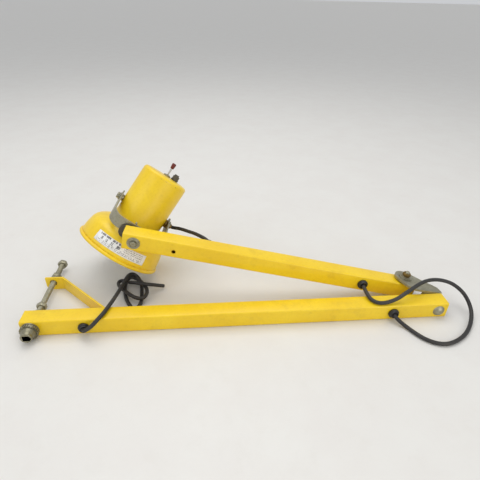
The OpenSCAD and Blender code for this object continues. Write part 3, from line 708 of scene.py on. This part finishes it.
def shade():
    """The spun shade with its rolled rim; its inside is white."""
    wall = [(98.4, 9.4), (96.8, 26), (93.6, 42), (90.4, 50), (85, 57), (78, 62.5),
            (70, 67), (62, 70.5), (58.8, 75), (58.8, 82)]
    outside = [tuple(p) for p in curve(wall, 4)]
    roll = [(97.7, 8.7)] + arc(RIM_R - BEAD_R, BEAD_R, BEAD_R, 62, -200, 20)
    inside = [(r - SHADE_T, z - 0.5) for r, z in outside[::-1]]
    inside[0] = (inside[0][0], outside[-1][1])
    spun = Shape()
    profile = outside[::-1] + roll + inside[::-1]
    spun.lathe(profile, turns=BIG_TURNS)
    first_inside = len(outside) + len(roll) - 1
    spun.second = set(range(first_inside * BIG_TURNS, (len(profile) - 1) * BIG_TURNS))
    spun.piece("shade_piece", "lamp", "paint", place=LAMP, soft=50, second="reflector")


def housing():
    """The lamp housing, its shallow cap and the switch on it."""
    start, bead, rim, wall, reach = 70, 88, HEAD_LEN - CAP_H, 2, 70
    body = Shape()
    outer = [(HOUSE_R, start), (HOUSE_R, bead), (HOUSE_R + 0.25, bead + 1.5), (HOUSE_R, bead + 3),
             (HOUSE_R, rim - 0.3), (HOUSE_R - 0.3, rim)]
    body.lathe(outer + [(HOUSE_R - wall, rim), (HOUSE_R - wall, start)], turns=BIG_TURNS)
    item = body.piece("housing_piece", "lamp", "paint", place=LAMP, soft=50)
    cut(item, cylinder_mesh([
        (at(0, 0, TILT_S) @ ALONG_X, SCREW_R + HOLE_FIT, reach),
        (at(0, 0, TILT_S) @ ALONG_MINUS_X, GLAND_R + HOLE_FIT, reach),
    ], LAMP))
    cap = Shape()
    corner = arc(HOUSE_R - 8.2, rim - 0.1, 8.1, 0, 78, 9)
    crown = [(44, HEAD_LEN + 0.25), (30, HEAD_LEN + 0.9), (15, HEAD_LEN + 1.4), (7, HEAD_LEN + 1.5)]
    under = [(7, rim + 6.4), (30, rim + 6.2), (47, rim + 5.2), (52, rim + 3), (54, rim)]
    cap.lathe(corner + crown + under, turns=BIG_TURNS)
    cap.piece("housing_cap_piece", "lamp", "paint", place=LAMP, soft=50)
    soften("switch_bushing", "zinc", 0.4)
    soften("end_knob", "dark_steel", 0.6)
    base = rim + 9.6
    stalk = Shape()
    stalk.lathe([(TIP, base + 1), (1.5, base + 1), (1.9, base + 8), (2.3, base + 18),
                 (2.1, base + 20.6), (TIP, base + 21)], LAMP, 32, closed=False)
    stalk.piece("toggle_stalk_piece", "toggle", "bright_steel")
    tip = Shape()
    tip.lathe([(TIP, base + 20.9), (3.4, base + 21), (4.3, base + 22), (4.9, base + 30),
               (5.1, base + 32.6), (4.4, base + 34.4), (2.4, base + 35), (TIP, base + 35)],
              LAMP, 32, closed=False)
    tip.piece("toggle_tip_piece", "toggle", "red_cap")


def label():
    """The label on the shade's wall, a thin film."""
    start, sweep, steps, rows = 46.5, 76.5, 48, 8
    bottom, height, lift, thickness = 17, 24, 0.35, 0.25
    knee_r, knee_z, lower_slope, upper_slope = 96.8, 26, 0.0918, 0.2
    film, coords = Shape(), []
    for j in range(rows + 1):
        v = j / rows
        z = bottom + height * v
        slope = upper_slope if z > knee_z else lower_slope
        radius = knee_r + lift - (z - knee_z) * slope
        for i in range(steps + 1):
            u = i / steps
            film.points.append(Vector(polar(radius, math.radians(start + sweep * u), z)))
            coords.append((u, v))
    n = steps + 1
    film.faces = [[j * n + i, j * n + i + 1, (j + 1) * n + i + 1, (j + 1) * n + i]
                  for j in range(rows) for i in range(steps)]
    item = film.piece("label_piece", "lamp", "label", place=LAMP)
    layer = item.data.uv_layers.new(name="UVMap")
    for loop in item.data.loops:
        layer.data[loop.index].uv = coords[loop.vertex_index]
    thick = item.modifiers.new("thickness", "SOLIDIFY")
    thick.thickness, thick.offset = thickness * MM, 0


def lamp_inside():
    """The lamp holder and the reflector bulb, which show from below."""
    holder = Shape()
    holder.lathe([(14.6, 136), (20, 136), (22, 138), (22, 150), (20.6, 151), (20.6, 153),
                  (22, 154), (22, 182), (53.5, 182), (53.5, 190), (TIP, 190), (TIP, 170),
                  (14.6, 170)], LAMP, 64, closed=False)
    holder.piece("lamp_socket_piece", "lamp", "socket_ceramic")
    lens_z, rib, neck, base_end, base_r, base_pitch = 47.4, 6, 134, 162, 13.5, 3.6
    ribs = [(rib * k + dr, lens_z + 0.011 * (rib * k) ** 1.55 + dz)
            for k in range(1, 7) for dr, dz in ((0, 0.5), (rib / 2, 0))]
    glass = [(TIP, lens_z + 0.4)] + ribs + [
        (44, 55), (46.8, 58), (47.5, 61), (46.5, 66), (40, 82), (30, 102), (20, 122),
        (14, neck), (TIP, neck),
    ]
    bulb = Shape()
    bulb.lathe(glass, LAMP, 96, closed=False)
    bulb.piece("bulb_piece", "lamp", "bulb_glass", soft=60)
    base = Shape()
    thread(base, base_r, base_pitch, neck, base_end, LAMP, 36)
    base.piece("bulb_base_piece", "lamp", "brass", soft=70)


def lamp_ears():
    """The screw in the left ear, and the hollow gland in the right ear."""
    side, washer_h = at(0, 0, TILT_S) @ ALONG_X, 1.6
    screw = Shape()
    screw.lathe(ring_profile(8, SCREW_R, 4.8), side @ at(0, 0, HOUSE_R + 0.1))
    screw.lathe(ring_profile(9.5, SCREW_R, washer_h), side @ at(0, 0, EAR_FACE))
    screw.lathe(nut_profile(13, 6, TIP), side @ at(0, 0, EAR_FACE + washer_h), outline=hexagon(13))
    thread(screw, SCREW_R, 1.25, 46, 72, side)
    screw.piece("tilt_screw_piece", "lamp", "zinc", place=LAMP, soft=60)
    soften("cord_gland", "brass", 0.4)
    side, washer_h = at(0, 0, TILT_S) @ ALONG_MINUS_X, 1.5
    washer("gland_washer", "lamp", 11, GLAND_R + 0.05, washer_h, side @ at(0, 0, EAR_FACE), LAMP)
    nut("gland_nut", "lamp", "zinc", 18, 4, GLAND_R + NUT_FIT,
        side @ at(0, 0, EAR_FACE + washer_h), 12, LAMP)


# ---------------------------------------------------------------- cords and bushings

def bushing(name, body, place):
    """A nylon strain relief with a stepped, grooved head that stands towards -Y."""
    hole = CORD_D / 2 + 0.15
    head = [
        (hole, -6), (7.6, -6), (8, -5), (8, 0), (BUSH_R - 0.6, 0), (BUSH_R, 0.6), (BUSH_R, 4.1),
        (BUSH_R - 0.5, 4.8), (BUSH_R - 1.9, 5.1), (BUSH_R - 2.3, 5.6), (BUSH_R - 2.4, BUSH_H - 0.8),
        (BUSH_R - 3.1, BUSH_H), (hole + 1.1, BUSH_H), (hole, BUSH_H - 1),
    ]
    part = Shape()
    part.lathe(head, ALONG_MINUS_Y, 64)
    part.piece(name + "_piece", body, "black_plastic", place=place, soft=45)


def bushings():
    """The four bushings where the cords pass the tubes' walls."""
    bushing("bushing_a", "lower_arm", at(BUSH_A, -HALF, 0))
    bushing("bushing_b", "lower_arm", at(BUSH_B, -HALF, 0))
    bushing("bushing_c", "upper_arm", UPPER @ at(BUSH_C, -HALF, 0))
    flip = Matrix.Rotation(math.pi, 4, "Z")
    bushing("bushing_d", "upper_arm", UPPER @ at(BUSH_D, HALF, BUSH_D_Z) @ flip)


# The cords' routes in millimetres. Their points were picked along the cords in the photograph,
# turned into this frame by a separate script, and moved by hand near the bushings and joints.
# The elbow's and the lamp's are in two lengths each, as the CAD has them.
POWER_ROUTE = [
    (105.5, -13, 0), (105.5, -27.8, 0.2), (110, -33.8, 3), (119, -35.6, 9.5),
    (129.5, -31.5, 17), (137.5, -23.5, 23), (143.6, -13.5, 24.6), (149, 2.9, 24.3),
    (158.1, 36.6, 23), (163, 87.2, 12), (166.1, 113.4, 7), (168.9, 138.9, 4.9), (176.6, 156.3, 1.9),
    (189.5, 153.4, -4.1), (201.8, 132.7, -12.8), (206.3, 103.6, -14), (208.6, 74.9, -14),
    (206.7, 54.5, -14), (196, 43.6, -14), (183.9, 59.3, -14), (172.4, 84.1, -14),
    (165.6, 113.5, -14), (164.2, 138.9, -12.8), (169.3, 154.3, -10), (176.4, 156.4, -8.6),
    (193.7, 139.3, -4.1), (210.8, 116.4, -2.1), (220.2, 96.7, -3.1), (219.6, 76.4, -4.1),
    (209.4, 67.9, -4.6), (195.5, 72.7, -4.1), (180.8, 83.5, -2.1), (164.9, 99.4, -1.1),
    (152.6, 116.8, -3.6), (148.8, 133.6, -4.6), (156.5, 138.2, -4.1), (172.1, 127.1, -1.1),
    (193.5, 113, 6.4), (210.7, 106.5, 8), (226, 109.2, 2.9), (240.9, 115.7, -5.1),
    (257.3, 119.2, -11),
]
ELBOW_LOW_ROUTE = [
    (764.5, -13, 0), (764.5, -27.8, -0.4), (767.5, -33.6, -4), (774.9, -39.5, -9.5),
    (784, -49.5, -13.4), (793.2, -65.3, -14), (804.9, -82.7, -14), (819.8, -95.4, -14),
    (837.9, -102.1, -14), (858.6, -100.2, -14), (882.6, -90.2, -14), (907.6, -72.9, -14),
    (930.9, -48.1, -13), (945.9, -23.7, -7), (949, -4.9, 2.9), (944.1, 10.1, 15),
    (934.3, 18.2, 25.1), (932.1, 19.5, 26.8),
]
ELBOW_UP_ROUTE = [
    (931.5, 19.9, 27.2), (929.3, 21.2, 28.9), (915.2, 27.8, 37), (895.7, 32, 43),
    (874.6, 31.8, 47), (853, 28.1, 48), (831, 18.8, 47), (809.3, 7.6, 43), (787.4, -2.5, 36.5),
    (770.1, -8.3, 29.5), (750, -12.2, 25.2), (734.4, -13.8, 24.6), (721.5, -8.5, 24.6),
    (714.5, 5, 25.4), (713, 22, 27), (713.5, 36.9, 27.7), (713.9, 44.4, 27.6), (714.8, 59.9, 27.4),
]
LAMP_YOKE_ROUTE = [
    (261.5, 224.2, 100.6), (275.5, 223.3, 90.3), (281.8, 220.6, 90), (289.8, 214.4, 92.6),
    (302.5, 202.4, 96.1), (317.3, 186.4, 99.5), (331.6, 168.8, 104.4), (333.5, 166.4, 104.9),
]
LAMP_ARM_ROUTE = [
    (333.9, 165.8, 105.1), (335.8, 163.4, 105.6), (346.9, 148, 108.6),
    (358.5, 134.5, 108.5), (365.3, 124.2, 107.3), (365.2, 112.7, 107.4), (364.5, 101.2, 107.6),
]


def relaxed(route, step=3, passes=8, straight=5):
    """An even line along a route, with its corners eased and its two ends left straight."""
    line = curve(route)
    spots = [0]
    for p, q in zip(line, line[1:]):
        spots.append(spots[-1] + (q - p).length)
    count, even, i = round(spots[-1] / step), [], 0
    for k in range(count + 1):
        spot = spots[-1] * k / count
        while i < len(line) - 2 and spots[i + 1] < spot:
            i += 1
        share = (spot - spots[i]) / (spots[i + 1] - spots[i])
        even.append(line[i].lerp(line[i + 1], min(1, share)))
    for _ in range(passes):
        eased = [p.copy() for p in even]
        for k in range(straight, len(even) - straight):
            eased[k] = even[k] * 0.5 + (even[k - 1] + even[k + 1]) * 0.25
        even = eased
    return even


def swept_cord(name, line, body, nodes):
    """A round jacket along a line, with slightly rounded ends; returns the piece."""
    sides, radius, end_trim, any_side = 18, CORD_D / 2, 0.5, Vector((0.13, 0.21, 0.97))
    tangents = [(line[min(i + 1, len(line) - 1)] - line[max(i - 1, 0)]).normalized()
                for i in range(len(line))]
    side = tangents[0].cross(any_side).normalized()
    rings = []
    for i, (point, tangent) in enumerate(zip(line, tangents)):
        side = (side - side.dot(tangent) * tangent).normalized()
        up = tangent.cross(side)
        r = radius - (end_trim if i in (0, len(line) - 1) else 0)
        rings.append([
            point + r * (math.cos(a) * side + math.sin(a) * up)
            for a in (2 * math.pi * k / sides for k in range(sides))
        ])
    jacket = Shape()
    jacket.add_rings(rings)
    return jacket.piece(name, body, "cord_rubber", nodes, soft=50)


def cords():
    """The power cord, the elbow cord in its two lengths and the lamp cord."""
    whole = relaxed(ELBOW_LOW_ROUTE + ELBOW_UP_ROUTE)
    top = Vector(ELBOW_UP_ROUTE[5])
    half_way = min(range(len(whole)), key=lambda i: (whole[i] - top).length)
    split = whole[half_way]
    lines = {
        "power_cord": (relaxed(POWER_ROUTE), "bare", ["power_cord"]),
        "elbow_cord_lower": (whole[:half_way + 1], "object", ["elbow_cord_lower"]),
        "elbow_cord_upper": (whole[half_way:], "object", ["elbow_cord_upper"]),
        "lamp_cord": (relaxed(LAMP_YOKE_ROUTE + LAMP_ARM_ROUTE), "object",
                      ["lamp_cord_yoke", "lamp_cord_arm"]),
    }
    # Each bend lists the two groups a cord runs between and two points along it; for the lower
    # length the first point is just under the loop's top. The script reads only the names: these
    # cords go on no body.
    below_top = split + Vector((0, 5.1, -17))
    bends = {
        "elbow_cord_lower": ("lower_arm", "elbow", below_top, split),
        "elbow_cord_upper": ("elbow", "upper_arm", split, Vector(ELBOW_UP_ROUTE[10])),
        "lamp_cord": ("yoke", "upper_arm", Vector(LAMP_YOKE_ROUTE[1]), Vector(LAMP_ARM_ROUTE[4])),
    }
    for name, (line, far_end, nodes) in lines.items():
        piece = swept_cord(name + "_piece", line, None if name in bends else "lower_arm", nodes)
        if name in bends:
            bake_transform(piece)


# ---------------------------------------------------------------- the scene

camera()
studio()
cords()
bushings()
arms()
wall_pin()
elbow()
head_joint()
shade()
housing()
label()
lamp_inside()
lamp_ears()
